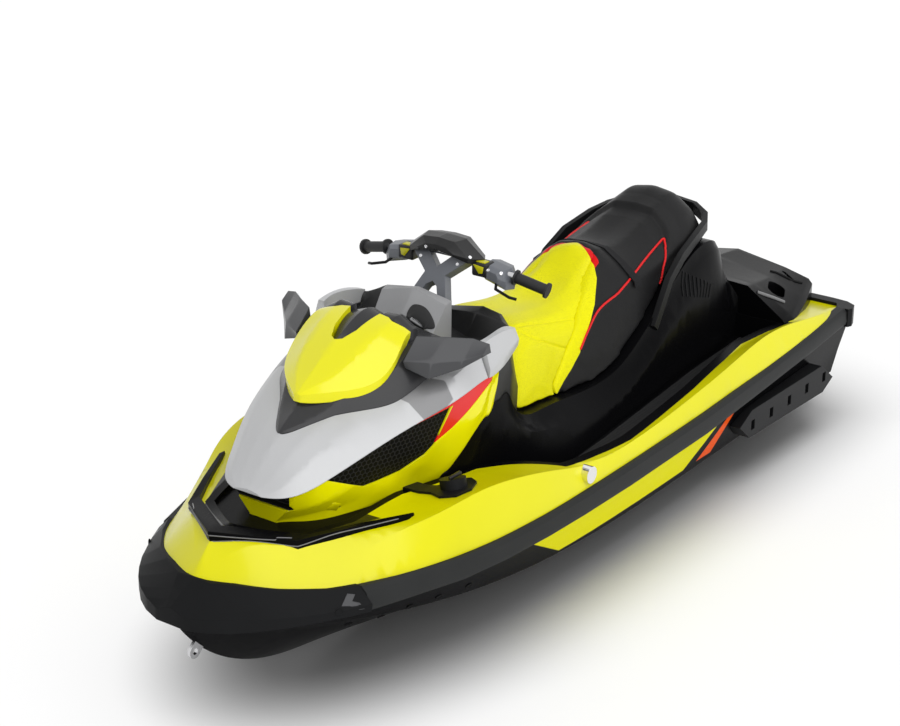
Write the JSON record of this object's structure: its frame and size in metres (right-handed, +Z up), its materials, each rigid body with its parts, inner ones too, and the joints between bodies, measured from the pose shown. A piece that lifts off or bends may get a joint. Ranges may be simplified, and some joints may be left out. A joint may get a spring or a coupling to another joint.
{
  "type": "sit-down three-seat personal watercraft",
  "caption": "Jet-driven runabout for riders astride a long seat: V hull, footwells, opening hood, handlebar steering, jet pump with trimming nozzle, reverse gate and boarding step.",
  "frame": {"origin": "on the centreline, amidships, in the plane of the water that the craft floats in when empty", "axes": "+X towards the bow, +Y to port, +Z up"},
  "size_m": [3.5458, 1.22, 1.2537],
  "materials": {
    "hull_gelcoat": "moulded gelcoat, gloss",
    "deck_gelcoat": "gelcoat, high gloss",
    "panel_black": "moulded panel, gloss",
    "trim_dark": "moulded trim, satin",
    "mat_foam": "ribbed foam mat",
    "body_yellow": "painted body panel, gloss",
    "body_silver": "metallic body panel, gloss",
    "accent_red": "painted insert, gloss",
    "grille_black": "moulded mesh",
    "liner_black": "moulded liner",
    "mirror_black": "moulded housing, gloss",
    "mirror_face": "coated glass",
    "gauge_glass": "dark display glass",
    "dash_black": "moulded console",
    "seat_yellow": "marine vinyl, yellow",
    "seat_black": "marine vinyl, black",
    "webbing": "woven strap",
    "engine_metal": "cast block",
    "pump_metal": "cast alloy, satin",
    "steel": "stainless steel",
    "grip_rubber": "moulded grip",
    "bar_grey": "painted alloy",
    "chrome": "polished"
  },
  "bodies": {
    "hull": {"hull": "hull_gelcoat", "deck": "deck_gelcoat", "footwell": "panel_black", "footwell_mats": "mat_foam", "bow_guard": "trim_dark", "side_rails": "trim_dark", "stern_bumper": "trim_dark", "splash_wing": "panel_black", "accents": "accent_red", "side_grilles": "grille_black", "side_panels": "panel_black", "front_body": "body_yellow", "storage_bin": "liner_black", "dash": "dash_black", "shoulders": "body_silver", "gauge_pod": "body_silver", "gauge": "gauge_glass", "front_grille": "grille_black", "seat_front": "seat_yellow", "seat_rear": "seat_black", "seat_strap": "webbing", "grab_handle": "trim_dark", "rear_platform": "panel_black", "sponsons": "trim_dark", "engine": "engine_metal", "jet_pump": "pump_metal", "ride_plate": "pump_metal", "intake_grate": "pump_metal", "steering_column": "dash_black", "step_hinges": "steel", "bow_eye": "steel", "stern_eyes": "steel", "fuel_cap": "trim_dark", "deck_vents": "chrome"},
    "hood": {"hood": "body_silver", "hood_crown": "panel_black", "fairing": "body_yellow", "mirrors": "mirror_black", "mirror_glass": "mirror_face"},
    "steering": {"steering_yoke": "bar_grey", "handlebar": "steel", "bar_pad": "dash_black", "bar_controls": "bar_grey", "bar_grips": "grip_rubber", "bar_levers": "trim_dark"},
    "glove_lid": {"glove_lid": "dash_black"},
    "impeller": {"impeller": "steel"},
    "trim_ring": {"trim_ring": "pump_metal"},
    "nozzle": {"nozzle": "pump_metal"},
    "reverse_gate": {"reverse_gate": "pump_metal"},
    "boarding_step": {"boarding_step": "trim_dark"}
  },
  "joints": [
    {"name": "steering", "type": "hinge", "parent": "hull", "child": "steering", "pos_m": [0.42, 0, 0.78], "axis": [-0.5, 0, 0.866], "range_deg": [-38, 38]},
    {"name": "hood", "type": "hinge", "parent": "hull", "child": "hood", "pos_m": [1.32, 0, 0.416], "axis": [0, 1, 0], "range_deg": [0, 50]},
    {"name": "glove_lid", "type": "hinge", "parent": "hull", "child": "glove_lid", "pos_m": [0.32, 0, 0.715], "axis": [0, 1, 0], "range_deg": [0, 60]},
    {"name": "impeller", "type": "hinge", "parent": "hull", "child": "impeller", "pos_m": [-1.29, 0, -0.095], "axis": [1, 0, 0], "continuous": true},
    {"name": "trim", "type": "hinge", "parent": "hull", "child": "trim_ring", "pos_m": [-1.526, 0, -0.095], "axis": [0, 1, 0], "range_deg": [-8, 8]},
    {"name": "nozzle", "type": "hinge", "parent": "trim_ring", "child": "nozzle", "pos_m": [-1.57, 0, -0.095], "axis": [0, 0, 1], "range_deg": [-19, 19]},
    {"name": "reverse_gate", "type": "hinge", "parent": "hull", "child": "reverse_gate", "pos_m": [-1.495, 0, -0.095], "axis": [0, -1, 0], "range_deg": [0, 90]},
    {"name": "boarding_step", "type": "hinge", "parent": "hull", "child": "boarding_step", "pos_m": [-1.767, 0, 0.002], "axis": [0, -1, 0], "range_deg": [0, 170]}
  ],
  "couplings": [
    {"joint": "nozzle", "follows": "steering", "ratio": -0.5}
  ]
}
